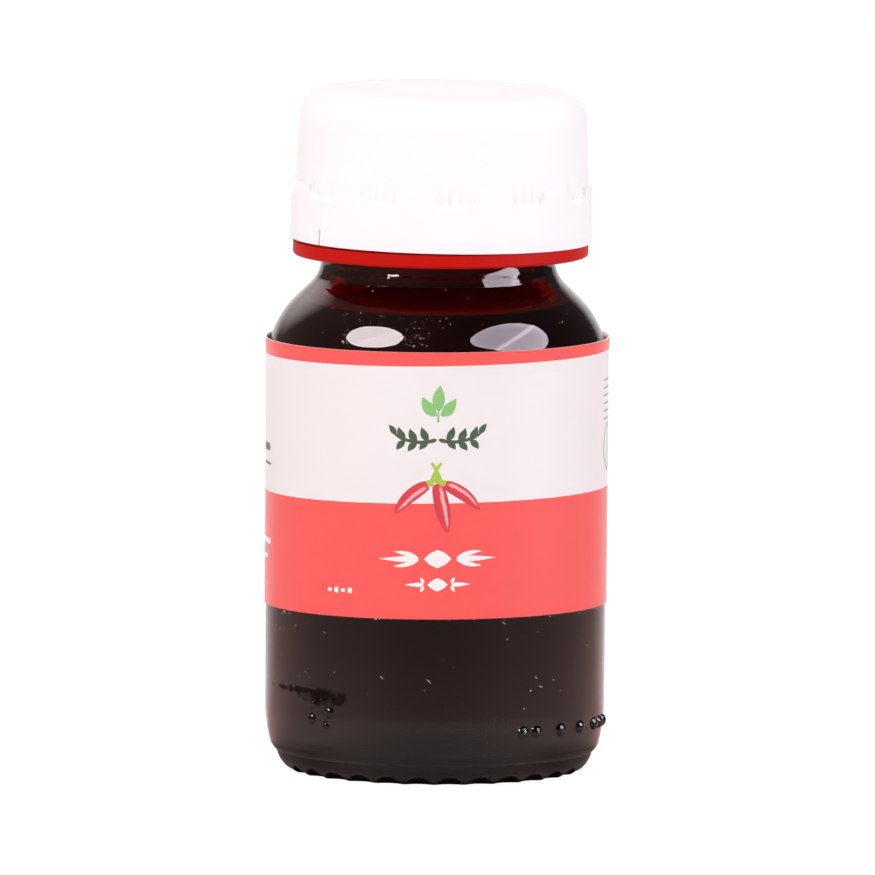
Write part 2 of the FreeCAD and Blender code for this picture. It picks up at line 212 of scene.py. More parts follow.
def build_piece(name, sheets, closed=False):
    """One mesh object from grids of places in millimetres, with a chart each.

    Every sheet is a pair of arrays, places (rows, columns, 3) and chart (rows,
    columns, 2).  The chart becomes the UV map.  Places that fall together, such
    as poles and tips, are merged.
    """
    faces, start = [], 0
    for places, _ in sheets:
        rows, columns = places.shape[:2]
        faces.append(grid_quads(rows, columns, closed) + start)
        start += rows * columns
    faces = np.concatenate(faces)
    places = np.concatenate([sheet[0].reshape(-1, 3) for sheet in sheets]) * MM
    chart = np.concatenate([sheet[1].reshape(-1, 2) for sheet in sheets])
    mesh = bpy.data.meshes.new(name)
    mesh.from_pydata(places.tolist(), [], faces.tolist())
    layer = mesh.uv_layers.new(name="chart")
    corners = np.empty(len(mesh.loops), dtype=np.int32)
    mesh.loops.foreach_get("vertex_index", corners)
    layer.data.foreach_set("uv", chart[corners].astype(np.float32).ravel())
    mesh.polygons.foreach_set("use_smooth", np.ones(len(mesh.polygons), dtype=bool))
    work = bmesh.new()
    work.from_mesh(mesh)
    bmesh.ops.remove_doubles(work, verts=work.verts, dist=1e-4 * MM)
    work.to_mesh(mesh)
    work.free()
    mesh.update()
    if mesh.validate():
        raise RuntimeError(f"{name} has broken faces")
    piece = bpy.data.objects.new(name, mesh)
    bpy.context.scene.collection.objects.link(piece)
    return piece


def add_piece(name, sheets, material, closed=False):
    """Builds a piece, gives it its finish and lets it ride with the bottle."""
    piece = build_piece(name, sheets, closed)
    piece.data.materials.append(material)
    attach(piece, BODY)
    return piece


def arc(centre, radius, first, last, count):
    """Points on a circle: centre + radius (cos a, sin a), a from first to last degrees."""
    turn = np.radians(np.linspace(first, last, count))
    return np.stack([centre[0] + radius * np.cos(turn), centre[1] + radius * np.sin(turn)], axis=-1)


def straight(start, end, count):
    """Points in equal steps from start to end."""
    step = np.linspace(0.0, 1.0, count)[:, None]
    return np.asarray(start) * (1.0 - step) + np.asarray(end) * step


def revolve(profile, columns):
    """A profile carried once round the axis.

    A point (r, z) goes to (r sin turn, -r cos turn, z).
    """
    turn = np.linspace(0.0, FULL_TURN, columns, endpoint=False)
    radius = profile[:, :1]
    height = np.broadcast_to(profile[:, 1:2], (len(profile), columns))
    places = np.stack([radius * np.sin(turn), -radius * np.cos(turn), height], axis=-1)
    along = np.linspace(0.0, 1.0, len(profile))[:, None] + 0.0 * turn
    chart = np.stack([turn / FULL_TURN + 0.0 * radius, along], axis=-1)
    return places, chart


def shoulder_profile(glass, inset, count):
    """The shoulder's section, moved inwards from the glass's outside by an inset.

    A convex arc leaves the wall and a concave arc enters the neck.  A straight
    flank touches both: its outward direction is the one in which the two arc
    centres lie apart by the sum of the two roundings.
    """
    convex, concave = glass.body_round / MM - inset, glass.neck_round / MM + inset
    low = (glass.body_radius / MM - glass.body_round / MM, glass.shoulder_start / MM)
    high = (glass.neck_radius / MM + glass.neck_round / MM, glass.neck_start / MM)
    run, rise = high[0] - low[0], high[1] - low[1]
    spread = math.acos((convex + concave) / math.hypot(run, rise))
    flank = math.degrees(math.atan2(rise, run) - spread)
    below = arc(low, convex, 0.0, flank, count)
    above = arc(high, concave, 180.0 + flank, 180.0, count)
    return np.concatenate([below, above])


def oil_profile(glass, oil):
    """The oil's half section, from the middle of the floor round to the middle of its top.

    It follows the cavity, let into the wall by the bite.  The surface is level,
    and near the glass a quarter arc lifts it by the creep.  The section of the
    wall goes on past that arc's end by a seam.
    """
    seam = 0.02
    inset = (glass.wall - oil.bite) / MM
    wall = glass.body_radius / MM - inset
    bite, level, creep = oil.bite / MM, oil.level / MM, oil.creep / MM
    heel = (oil.heel_round + oil.bite) / MM
    edge = (wall - heel, oil.floor_edge / MM - bite)
    middle = oil.floor_centre / MM - bite
    step = np.linspace(0.0, 1.0, 12)[:-1, None]
    floor = np.hstack([step * edge[0], middle - (middle - edge[1]) * step ** 2])
    lower = arc((edge[0], edge[1] + heel), heel, -90.0, 0.0, 14)
    side = straight((wall, edge[1] + heel), (wall, glass.shoulder_start / MM), 10)[1:-1]
    shoulder = shoulder_profile(glass, inset, 20)
    radius_at = np.interp([level], shoulder[:, 1], shoulder[:, 0])[0]
    flat = radius_at - bite - creep
    climb = arc((flat, level + creep), creep, -2.0, -90.0, 10)
    reach = np.interp(climb[:, 1], shoulder[:, 1], shoulder[:, 0])
    climb = climb[climb[:, 0] < reach]
    crest = climb[0, 1] + seam
    shoulder = shoulder[shoulder[:, 1] < crest]
    top = straight((flat, level), (0.0, level), 12)[1:]
    return np.concatenate([floor, lower, side, shoulder, climb, top])


# ---- strokes of print and dust ----
def stroke(centre, half_width, columns=7):
    """A band on a flat sheet, along a centreline, with a tip or an end of its own.

    The place at (t, s) is centre(t) + side(t) * half_width(t) * s, with s from -1
    to 1, where side is the centreline's direction turned a quarter clockwise.
    """
    along = np.gradient(centre, axis=0)
    along /= np.maximum(np.linalg.norm(along, axis=1, keepdims=True), 1e-9)
    side = np.stack([along[:, 1], -along[:, 0]], axis=-1)
    across = np.linspace(-1.0, 1.0, columns)
    return centre[:, None, :] + (side * half_width[:, None])[:, None, :] * across[None, :, None]


def bend(start, middle, end, count=STEPS):
    """A curve from start to end that is drawn towards middle.

    (1-t)^2 start + 2 t (1-t) middle + t^2 end.
    """
    t = np.linspace(0.0, 1.0, count)[:, None]
    start, middle, end = (np.asarray(point, dtype=float) for point in (start, middle, end))
    return (1.0 - t) ** 2 * start + 2.0 * t * (1.0 - t) * middle + t ** 2 * end


def rounded(t, power):
    """1 along a stroke and 0 at its two ends: (1 - |2t-1|^power)^(1/2)."""
    return np.sqrt(np.maximum(1.0 - np.abs(2.0 * t - 1.0) ** power, 0.0))


def leaf(root, tip, sag, widest, peak=0.45):
    """A leaf from root to tip, bowed sideways by the sag.

    Its half width is widest * sin(pi t^q), and q puts the widest place at the peak.
    """
    root, tip = np.asarray(root, dtype=float), np.asarray(tip, dtype=float)
    run = tip - root
    middle = (root + tip) / 2.0 + np.array([-run[1], run[0]]) * sag
    t = np.linspace(0.0, 1.0, STEPS)
    half_width = widest * np.sin(math.pi * t ** (math.log(0.5) / math.log(peak)))
    return stroke(bend(root, middle, tip), half_width)


def stalk(start, middle, end, thick, thin):
    """A stem that tapers from start to end along a bend."""
    t = np.linspace(0.0, 1.0, STEPS)
    half_width = (thick * (1.0 - t) + thin * t) * rounded(t, 14)
    return stroke(bend(start, middle, end), half_width, 5)


def bar(left, right, height, half_width):
    """A level bar with rounded ends."""
    t = 0.5 - 0.5 * np.cos(math.pi * np.linspace(0.0, 1.0, STEPS))
    centre = np.stack([left * (1.0 - t) + right * t, height + 0.0 * t], axis=-1)
    return stroke(centre, half_width * rounded(t, 12), 5)


def wrap(flat, radius, lift, skew):
    """A flat stroke laid round the bottle, its rim tucked into what it lies on.

    (u, z) goes to turn u / radius and height z + x tan(skew).  The distance from
    the axis is radius + lift (1 - rim) - lift rim / 2, where rim is the larger of
    s^6 and r^24, with s across the stroke and r along it, both from -1 to 1.
    """
    turn = flat[..., 0] / radius
    across = np.linspace(-1.0, 1.0, flat.shape[1])
    along = np.linspace(-1.0, 1.0, flat.shape[0])[:, None]
    rim = np.maximum(across[None, :] ** 6, along ** 24)
    reach = radius + lift * (1.0 - rim) - 0.5 * lift * rim
    side = reach * np.sin(turn)
    return np.stack([side, -reach * np.cos(turn), flat[..., 1] + side * math.tan(skew)], axis=-1)


def wrap_all(strokes, radius, lift, skew):
    """Every stroke wrapped, with a chart of (t, stroke number + place across).

    The lift grows a little from one stroke to the next, so that crossing strokes
    don't fight, and starts again at every fifth.
    """
    sheets = []
    for number, flat in enumerate(strokes):
        rows, columns = flat.shape[:2]
        t, s = np.meshgrid(np.linspace(0.0, 1.0, rows), np.linspace(0.02, 0.98, columns), indexing="ij")
        height = lift * (1.0 + 0.15 * (number % 5))
        sheets.append((wrap(flat, radius, height, skew), np.stack([t, number + s], axis=-1)))
    return sheets


# ---- node sheets ----
def pairing(operation, swapped=False):
    """A method that joins a wire and another value with a Math node."""
    def method(self, other):
        first, second = (other, self) if swapped else (self, other)
        return self.maths(operation, first, second)
    return method


class Wire:
    """A node's output, with arithmetic that adds Math nodes."""

    def __init__(self, sheet, socket):
        self.sheet = sheet
        self.socket = socket

    def maths(self, operation, first, second=0.0):
        return self.sheet.node("ShaderNodeMath", {"operation": operation}, {0: first, 1: second})

    __add__, __radd__ = pairing("ADD"), pairing("ADD", True)
    __sub__, __rsub__ = pairing("SUBTRACT"), pairing("SUBTRACT", True)
    __mul__, __rmul__ = pairing("MULTIPLY"), pairing("MULTIPLY", True)
    __truediv__, __pow__ = pairing("DIVIDE"), pairing("POWER")
    lower_of, higher_of = pairing("MINIMUM"), pairing("MAXIMUM")

    def __abs__(self):
        return self.maths("ABSOLUTE", self)

    def fraction(self):
        """What a number has over the whole number below it."""
        return self.maths("FRACT", self)

    def above(self, low, high):
        """0 below low, 1 over high, and a soft step between."""
        settings = {"interpolation_type": "SMOOTHSTEP"}
        inputs = {"Value": self, "From Min": low, "From Max": high}
        return self.sheet.node("ShaderNodeMapRange", settings, inputs)


class Sheet:
    """The node tree of a material or the world, made from nothing."""

    def __init__(self, owner):
        owner.use_nodes = True
        self.owner = owner
        self.tree = owner.node_tree
        self.tree.nodes.clear()

    def node(self, kind, settings=None, inputs=None, output=0):
        """Adds a node: its settings first, then a value or a link for each socket named."""
        made = self.tree.nodes.new(kind)
        for name, value in (settings or {}).items():
            if name == "stops":
                self.set_stops(made.color_ramp, value)
            else:
                setattr(made, name, value)
        for name, value in (inputs or {}).items():
            if isinstance(value, Wire):
                self.tree.links.new(value.socket, made.inputs[name])
            else:
                made.inputs[name].default_value = value
        return Wire(self, made.outputs[output]) if made.outputs else None

    @staticmethod
    def set_stops(ramp, stops):
        """Gives a colour ramp its stops, as (place, colour) pairs."""
        while len(ramp.elements) < len(stops):
            ramp.elements.new(0.5)
        for element, (place, tone) in zip(ramp.elements, stops):
            element.position = place
            element.color = opaque(tone)

    def vector(self, operation, first, second=(0.0, 0.0, 0.0), output=0):
        """A Vector Math node."""
        return self.node("ShaderNodeVectorMath", {"operation": operation}, {0: first, 1: second}, output)

    def stretched(self, vector, factors):
        """A vector with each part multiplied by its own factor."""
        return self.vector("MULTIPLY", vector, factors)

    def place_mm(self):
        """The piece's own coordinates in millimetres."""
        return self.stretched(self.node("ShaderNodeTexCoord", output="Object"), (1.0 / MM,) * 3)

    def parts(self, vector):
        """The three parts of a vector."""
        return [self.node("ShaderNodeSeparateXYZ", None, {0: vector}, axis) for axis in range(3)]

    def noise(self, vector, scale, detail=2.0, roughness=0.5):
        """Soft noise between nought and one, its scale in features to the millimetre."""
        inputs = {"Vector": vector, "Scale": scale, "Detail": detail, "Roughness": roughness}
        return self.node("ShaderNodeTexNoise", None, inputs)

    def blend(self, first, second, amount):
        """A colour between two colours."""
        inputs = {0: amount, 6: opaque(first), 7: opaque(second)}
        return self.node("ShaderNodeMix", {"data_type": "RGBA"}, inputs, 2)

    def ramp(self, place, stops):
        """A colour by its place among stops."""
        return self.node("ShaderNodeValToRGB", {"stops": stops}, {0: place})

    def bump(self, height, strength, depth):
        """A normal from a height between nought and one, with its depth in millimetres."""
        inputs = {"Height": height, "Strength": strength, "Distance": depth * MM}
        return self.node("ShaderNodeBump", None, inputs)

    def principled(self, **sockets):
        """A Principled shader, its sockets named with underscores for spaces."""
        inputs = {name.replace("_", " "): value for name, value in sockets.items()}
        inputs["Base Color"] = opaque(inputs["Base Color"])
        return self.node("ShaderNodeBsdfPrincipled", None, inputs)

    def glow(self, tone, strength=1.0):
        """A shader that shines."""
        return self.node("ShaderNodeEmission", None, {"Color": opaque(tone), "Strength": strength})

    def mixed(self, first, second, amount):
        """A shader between two shaders."""
        return self.node("ShaderNodeMixShader", None, {0: amount, 1: first, 2: second})

    def covered(self, **sockets):
        """The finished material, with a Principled shader and no volume."""
        return self.finish(self.principled(**sockets))

    def finish(self, surface, volume=None):
        """Joins the shaders to the output, and returns the material or world."""
        inputs = {"Surface": surface}
        if volume is not None:
            inputs["Volume"] = volume
        is_world = isinstance(self.owner, bpy.types.World)
        self.node("ShaderNodeOutputWorld" if is_world else "ShaderNodeOutputMaterial", None, inputs)
        return self.owner


def opaque(tone):
    """A colour of three parts with a full fourth, or a link as it is."""
    return tone if isinstance(tone, Wire) else (*tuple(tone)[:3], 1.0)


def scaled(tone, factor):
    """A colour with its three parts multiplied and held below one."""
    return tuple(min(part * factor, 1.0) for part in tuple(tone)[:3])


def new_finish(name):
    """The empty sheet of a new material."""
    return Sheet(bpy.data.materials.new(name))


def dress(node, material):
    """Gives a CAD node its finish."""
    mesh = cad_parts[node].data
    mesh.materials.clear()
    mesh.materials.append(material)


# ---- finishes ----
def amber_glass(glass):
    """Clear dark amber: faint waves of pressed glass, a greasy haze, painted shade and a dark patch.

    A rounded step runs round the glass just under the neck.  A near-black rough
    finish paints shade into the hollows of the heel, where the radius is less than
    the heel's own curve gives, and darkens a patch where a torn pair of ovals lies in front.
    """
    sheet = new_finish("amber_glass_finish")
    place = sheet.place_mm()
    side, back, height = sheet.parts(place)
    waves = sheet.noise(sheet.stretched(place, (1.0, 1.0, 0.6)), 0.16, 1.5)
    ripple = sheet.noise(place, 0.7, 2.0)
    haze = sheet.noise(place, 0.22, 3.0, 0.6).above(0.50, 0.72)
    below_neck = glass.neck_start / MM - height
    step = (below_neck - 1.0).higher_of(0.0).lower_of(0.95)
    uneven = (ripple - 0.5) * below_neck.above(0.5, 1.2) * (1.0 - below_neck.above(2.0, 3.0))
    wave_depth, ripple_depth, uneven_depth, step_depth = 0.035, 0.0042, 0.06, 0.165
    relief = wave_depth * waves + ripple_depth * ripple + uneven_depth * uneven
    relief = relief - step_depth * step * step
    clean = sheet.principled(
        Base_Color=WHITE,
        Roughness=glass.roughness + 0.035 * haze,
        IOR=1.5,
        Transmission_Weight=1.0,
        Normal=sheet.bump(relief, 1.0, 1.0),
    )
    radius = (side * side + back * back) ** 0.5
    # Painted shade: a near-black rough finish darkens the heel's hollows, where the radius is under the
    # heel's own curve.
    under_heel = HEEL_FOOT + HEEL_GAIN * height.higher_of(0.0) ** HEEL_POWER - radius
    hollows = under_heel.above(0.06, 0.20) * (1.0 - height.above(1.2, 1.6))
    # A dark patch in front: a torn pair of ovals takes the same near-black finish.
    torn = 4.0 * (sheet.noise(place, 1.0, 5.0, 0.65) - 0.5)
    ovals = [((side - x) / wide) ** 2.0 + ((height - z) / high) ** 2.0 for x, z, wide, high in DARK_PATCH]
    in_front = 1.0 - back.above(-1.0, 1.0)
    dark_patch = (1.0 - (ovals[0].lower_of(ovals[1]) + torn).above(0.1, 1.4)) * in_front
    hollow_shade, patch_share, dark_tone = 0.97, 0.95, (0.007, 0.003, 0.003)
    shade_and_patch = sheet.principled(Base_Color=dark_tone, Roughness=0.6, Specular_IOR_Level=0.03)
    darkened = (hollow_shade * hollows).higher_of(patch_share * dark_patch)
    inputs = {"Color": opaque(glass.tint), "Density": glass.density}
    volume = sheet.node("ShaderNodeVolumeAbsorption", None, inputs)
    return sheet.finish(sheet.mixed(clean, shade_and_patch, darkened), volume)


def chilli_oil(oil):
    """Dark red oil: faintly clouded, darker near the floor, with painted shade high up under the shoulder
    and a pale painted light at its surface.
    """
    sheet = new_finish("chilli_oil_finish")
    place = sheet.place_mm()
    height = sheet.parts(place)[2]
    floor, level = oil.floor_edge / MM, oil.level / MM
    cloud = sheet.noise(sheet.stretched(place, (1.0, 1.0, 0.5)), 0.12, 3.0)
    near_floor = 1.0 - height.above(floor, floor + 9.0)
    body = sheet.blend(scaled(oil.deep, 0.75), oil.deep, cloud)
    body = sheet.blend(body, scaled(oil.deep, 0.6), near_floor * 0.5)
    # Painted shade: the oil darkens over the last few millimetres below its level, under the shoulder.
    body = sheet.blend(body, scaled(oil.deep, 0.42), height.above(level - 7.0, level - 4.0))
    # Painted light: the surface takes a pale colour that stands in for light coming through the oil.
    top = height.above(level - 0.25, level - 0.02)
    return sheet.covered(
        Base_Color=sheet.blend(body, oil.bright, top),
        Roughness=0.05 + 0.04 * cloud,
        IOR=oil.step,
    )


def label_paper(label):
    """Coated paper: a white field between a coral stripe and a coral field.

    The borders are straight across and lean by the print's skew: a place is
    above a border when z - x tan(skew) is.  Cut edges show the bare core, and a
    painted glow on the inner face by the free edge at the top stands in for light
    coming through the paper.
    """
    sheet = new_finish("label_paper_finish")
    place = sheet.place_mm()
    side, _, height = sheet.parts(place)
    fibres = sheet.noise(sheet.stretched(place, (1.0, 1.0, 2.2)), 1.6, 4.0, 0.65)
    mottle = sheet.noise(place, 0.35, 3.0)
    level = height - side * math.tan(label.skew) + 0.03 * (fibres - 0.5)
    stripe, field, soft = label.stripe_low / MM, label.field_top / MM, 0.035
    in_stripe = level.above(stripe - soft, stripe + soft)
    in_field = 1.0 - level.above(field - soft, field + soft)
    inked = in_stripe.higher_of(in_field)
    white = sheet.blend(scaled(label.white, 0.985), scaled(label.white, 1.01), mottle)
    coral = sheet.blend(scaled(label.coral, 0.965), scaled(label.coral, 1.02), mottle)
    outward = sheet.vector("NORMALIZE", sheet.stretched(place, LEVEL))
    facing = sheet.node("ShaderNodeNewGeometry", None, None, "Normal")
    outside = sheet.vector("DOT_PRODUCT", outward, facing, "Value").above(0.3, 0.6)
    # Painted light: the inner face near the free top edge glows, standing in for light through the paper.
    free_edge = height.above(44.3, 44.8)
    painted_edge_glow = (1.0 - outside) * free_edge
    return sheet.covered(
        Base_Color=sheet.blend(label.core, sheet.blend(white, coral, inked), outside),
        Roughness=label.roughness + 0.05 * fibres - 0.05 * inked,
        IOR=1.52,
        Sheen_Weight=0.18,
        Sheen_Roughness=0.35,
        Emission_Color=sheet.blend(BLACK, (0.52, 0.45, 0.45), painted_edge_glow),
        Emission_Strength=1.0,
        Normal=sheet.bump(0.06 * fibres + mottle, 0.25, 0.04),
    )


def stroke_parts(sheet):
    """The place along a printed stroke and the place across it, from nought to one."""
    along, across, _ = sheet.parts(sheet.node("ShaderNodeTexCoord", output="UV"))
    return along, across.fraction()


def ink(name, tone, edge=0.8):
    """Printed ink of one colour: paper mottle through it and a thinner rim."""
    sheet = new_finish(name)
    _, across = stroke_parts(sheet)
    rim = abs(2.0 * across - 1.0).above(edge, 1.0)
    grain = sheet.noise(sheet.place_mm(), 3.0, 3.0, 0.6)
    body = sheet.blend(scaled(tone, 0.88), scaled(tone, 1.12), grain)
    return sheet.covered(
        Base_Color=sheet.blend(body, scaled(tone, 1.35), rim * 0.4),
        Roughness=bpy.context.scene.bottle_label.roughness + 0.1 * grain,
        IOR=1.47,
    )


def chilli_ink(printing):
    """Printed chilli: a dark rim, a red body and a broken pale streak along it."""
    sheet = new_finish("chilli_ink")
    along, across = stroke_parts(sheet)
    grain = sheet.noise(sheet.place_mm(), 1.3, 3.0, 0.6)
    off_streak = abs(across - 0.36 + 0.25 * (grain - 0.5))
    between_ends = along.above(0.04, 0.16) * (1.0 - along.above(0.70, 0.95))
    streak = (1.0 - off_streak.above(0.05, 0.17)) * between_ends
    rim = abs(2.0 * across - 1.0).above(0.62, 0.98)
    body = sheet.blend(printing.chilli, scaled(printing.chilli, 0.82), grain)
    body = sheet.blend(body, scaled(printing.chilli, 0.62), rim)
    return sheet.covered(
        Base_Color=sheet.blend(body, printing.glint, streak * 0.85),
        Roughness=bpy.context.scene.bottle_label.roughness + 0.1 * grain,
        IOR=1.47,
    )


def moulded_plastic(name, tone, roughness, gloss, glow=0.0, slit_turn=None):
    """Moulded plastic: a fine spark-eroded grain and a slight cloud in the colour.

    With a turn for the slits, a painted glow lifts the shade in them.  They lie where
    x cos(turn) + y sin(turn) is nearly 0, z is below their top and the radius is
    within the skirt's.
    """
    sheet = new_finish(name)
    place = sheet.place_mm()
    grain = sheet.noise(place, 5.0, 2.0, 0.6)
    cloud = sheet.noise(place, 0.12, 2.0)
    slit_glow = 0.0
    if slit_turn is not None:
        side, back, height = sheet.parts(place)
        side = side - SHELL_SHIFT
        off_slit = abs(side * math.cos(slit_turn) + back * math.sin(slit_turn))
        depth = SKIRT_RADIUS - (side * side + back * back) ** 0.5
        # Painted light: the slits glow faintly, lifting the shade of the narrow grooves.
        slit_glow = (1.0 - off_slit.above(0.30, 0.45)) * (1.0 - height.above(SLIT_TOP, SLIT_TOP + 0.2))
        slit_glow = slit_glow * depth.above(0.15, 0.40)
    return sheet.covered(
        Base_Color=sheet.blend(scaled(tone, 0.985), scaled(tone, 1.01), cloud),
        Emission_Color=sheet.blend(BLACK, scaled(tone, 0.28), slit_glow),
        Emission_Strength=1.0,
        Roughness=roughness + 0.08 * (grain - 0.5) + 0.06 * cloud,
        IOR=1.49,
        Specular_IOR_Level=gloss,
        Subsurface_Weight=glow,
        Subsurface_Radius=(1.0, 0.9, 0.85),
        Subsurface_Scale=0.6 * MM,
        Normal=sheet.bump(grain, 0.12, 0.02),
    )


def dust_tone(dust):
    """Pale dust, each speck of its own brightness."""
    sheet = new_finish("dust_finish")
    variety = sheet.noise(sheet.place_mm(), 1.7, 1.0).above(0.3, 0.7)
    tone = sheet.blend(scaled(dust.tone, 0.45), scaled(dust.tone, 1.4), variety)
    return sheet.covered(Base_Color=tone, Roughness=0.8)


# ---- operators: the bottle ----
class BOTTLE_OT_glass(bpy.types.Operator):
    """Give the glass its amber finish"""

    bl_idname = "bottle.glass"
    bl_label = "Amber Glass"

    def execute(self, context):
        dress(GLASS, amber_glass(context.scene.bottle_glass))
        return {"FINISHED"}


class BOTTLE_OT_oil(bpy.types.Operator):
    """Fill the bottle with oil up to its level"""

    bl_idname = "bottle.oil"
    bl_label = "Oil"

    def execute(self, context):
        glass, oil = context.scene.bottle_glass, context.scene.bottle_oil
        sheet = revolve(oil_profile(glass, oil), columns=144)
        piece = add_piece("oil_fill", [sheet], chilli_oil(oil), closed=True)
        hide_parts(OIL)
        return {"FINISHED"}


class BOTTLE_OT_label(bpy.types.Operator):
    """Print the label's fields of white and coral"""

    bl_idname = "bottle.label"
    bl_label = "Label Paper"

    def execute(self, context):
        dress(PAPER, label_paper(context.scene.bottle_label))
        return {"FINISHED"}


class BOTTLE_OT_closure(bpy.types.Operator):
    """Give the white shell and the red band their finishes"""

    bl_idname = "bottle.closure"
    bl_label = "Closure"

    def execute(self, context):
        closure = context.scene.bottle_closure
        dress(BAND, moulded_plastic("red_band_finish", closure.red, closure.red_roughness, 0.1))
        white, roughness = closure.white, closure.white_roughness
        dress(SHELL, moulded_plastic("white_shell_finish", white, roughness, 0.3, 0.25, SLIT_TURN))
        return {"FINISHED"}


# ---- operators: print ----
def lay_print(context, name, strokes, material):
    """Wraps strokes on the label as one piece of print."""
    label, printing = context.scene.bottle_label, context.scene.bottle_print
    sheets = wrap_all(strokes, label.radius / MM, printing.lift / MM, label.skew)
    add_piece(name, sheets, material)


class BOTTLE_OT_sprig(bpy.types.Operator):
    """Print the light green sprig of leaves at the top of the label"""

    bl_idname = "bottle.sprig"
    bl_label = "Sprig"

    def execute(self, context):
        printing = context.scene.bottle_print
        strokes = [
            leaf((0.2, 38.7), (0.35, 41.5), 0.06, 0.68),
            leaf((0.05, 38.3), (-1.5, 40.3), 0.16, 0.64),
            leaf((0.35, 38.3), (1.95, 40.1), -0.16, 0.64),
            stalk((0.15, 37.6), (0.1, 38.3), (0.2, 38.9), 0.15, 0.10),
        ]
        lay_print(context, "print_sprig", strokes, ink("sprig_ink", printing.leaf))
        return {"FINISHED"}


class BOTTLE_OT_garland(bpy.types.Operator):
    """Print the dark green garland under the sprig"""

    bl_idname = "bottle.garland"
    bl_label = "Garland"

    def execute(self, context):
        printing = context.scene.bottle_print
        strokes = [
            stalk((0.1, 35.9), (-2.2, 35.1), (-4.5, 36.5), 0.24, 0.14),
            stalk((0.1, 35.9), (2.4, 35.1), (4.7, 36.5), 0.24, 0.14),
        ]
        for way in (-1.0, 1.0):
            for root, drop in ((0.9, 0.0), (2.1, 0.144), (3.3, 0.0)):
                foot = (0.1 + way * root, 35.75 - drop)
                upper = (foot[0] + way * 0.75, foot[1] + 1.45)
                lower = (foot[0] + way * 0.95, foot[1] - 0.95)
                strokes.append(leaf(foot, upper, -0.16 * way, 0.43))
                strokes.append(leaf(foot, lower, 0.16 * way, 0.38))
            strokes.append(leaf((0.1 + way * 4.3, 36.3), (0.1 + way * 5.1, 37.4), 0.1 * way, 0.34))
        lay_print(context, "print_garland", strokes, ink("garland_ink", printing.garland))
        return {"FINISHED"}


# Each chilli of the fan: the way that it leans, its tip from the crown, and its half width.
CHILLIES = ((-1.0, -4.3, 3.4, 1.0), (1.0, 4.5, 3.1, 0.95), (0.12, 1.2, 5.4, 1.12))


class BOTTLE_OT_chillies(bpy.types.Operator):
    """Print the fan of three chillies across the edge of the coral field"""

    bl_idname = "bottle.chillies"
    bl_label = "Chillies"

    def execute(self, context):
        printing = context.scene.bottle_print
        crown = np.array([0.0, 31.6])
        t = np.linspace(0.0, 1.0, 25)
        plump = t ** 0.22 * (1.0 - t ** 2.2) ** 0.8
        bodies, stems = [], []
        for way, reach, drop, girth in CHILLIES:
            root = crown + np.array([way * 0.75, -0.15 * (1.0 + abs(way))])
            tip = crown + np.array([reach, -drop])
            middle = (root + tip) / 2.0 + np.array([way * 0.55, 0.85 * abs(way) - 0.4])
            bodies.append(stroke(bend(root, middle, tip, 25), girth * plump, 9))
            head = root + (root - middle) * 0.08
            end = crown + np.array([-0.55 * way, 1.6 + 0.35 * abs(way)])
            bow = (head + end) / 2.0 + np.array([0.2 * way, 0.1])
            low, high = head + np.array([way * 0.25, -0.3]), head + np.array([-way * 0.1, 0.35])
            stems.append(leaf(low, high, 0.0, 0.52))
            stems.append(stalk(head, bow, end, 0.22, 0.17))
        lay_print(context, "print_chilli_bodies", bodies, chilli_ink(printing))
        lay_print(context, "print_chilli_stems", stems, ink("stem_ink", printing.stem))
        return {"FINISHED"}


class BOTTLE_OT_rules(bpy.types.Operator):
    """Print the white rules and lozenges on the coral field"""

    bl_idname = "bottle.rules"
    bl_label = "White Rules"

    def execute(self, context):
        printing = context.scene.bottle_print
        strokes, centre = [], 0.2
        for height, reach, girth in ((23.6, 6.2, 0.95), (20.95, 3.4, 0.7)):
            left, right = centre - girth * 1.5, centre + girth * 1.5
            strokes.append(leaf((left, height), (right, height), 0.0, girth, 0.5))
            for way in (-1.0, 1.0):
                near, far = centre + way * girth * 2.0, centre + way * reach
                strokes.append(leaf((near, height), (far, height), 0.0, 0.34 * girth, 0.3))
                for up in (1.0, -1.0):
                    root, tip = (near, height + 0.1 * up), (far - way * 1.6, height + 0.75 * up)
                    strokes.append(leaf(root, tip, 0.1 * way * up, 0.27 * girth))
        for step in range(4):
            left = -11.9 + 0.82 * step
            strokes.append(bar(left, left + 0.5, 20.2, 0.2 + 0.12 * (step % 2)))
        lay_print(context, "print_rules", strokes, ink("rule_ink", printing.rule, 0.9))
        return {"FINISHED"}


class BOTTLE_OT_side_marks(bpy.types.Operator):
    """Print the plain bars and the leaf outline at the label's sides"""

    bl_idname = "bottle.side_marks"
    bl_label = "Side Marks"

    def execute(self, context):
        printing = context.scene.bottle_print
        dark = [bar(-26.5, -23.4, 33.9, 0.45), bar(-26.5, -23.0, 32.2, 0.16)]
        pale = [bar(-26.8, -22.9, 24.2, 0.34), bar(-26.8, -24.3, 22.6, 0.28)]
        lines = [bar(23.6, 27.6, 40.4 - 0.8 * row, 0.10) for row in range(6)]
        outline = []
        for bow in (-0.42, 0.42):
            centre = bend((25.6, 30.9), (25.6 + bow * 9.0, 33.3), (25.6, 36.0), 25)
            outline.append(stroke(centre, 0.2 * np.ones(25), 5))
        outline.append(stalk((25.6, 31.0), (25.7, 33.0), (25.6, 35.0), 0.12, 0.05))
        lay_print(context, "print_side_bars", dark, ink("side_ink", (0.10, 0.12, 0.10)))
        lay_print(context, "print_side_whites", pale, ink("side_white_ink", printing.rule))
        lay_print(context, "print_side_lines", lines, ink("side_line_ink", (0.30, 0.29, 0.30)))
        lay_print(context, "print_side_leaf", outline, ink("side_leaf_ink", printing.leaf))
        return {"FINISHED"}


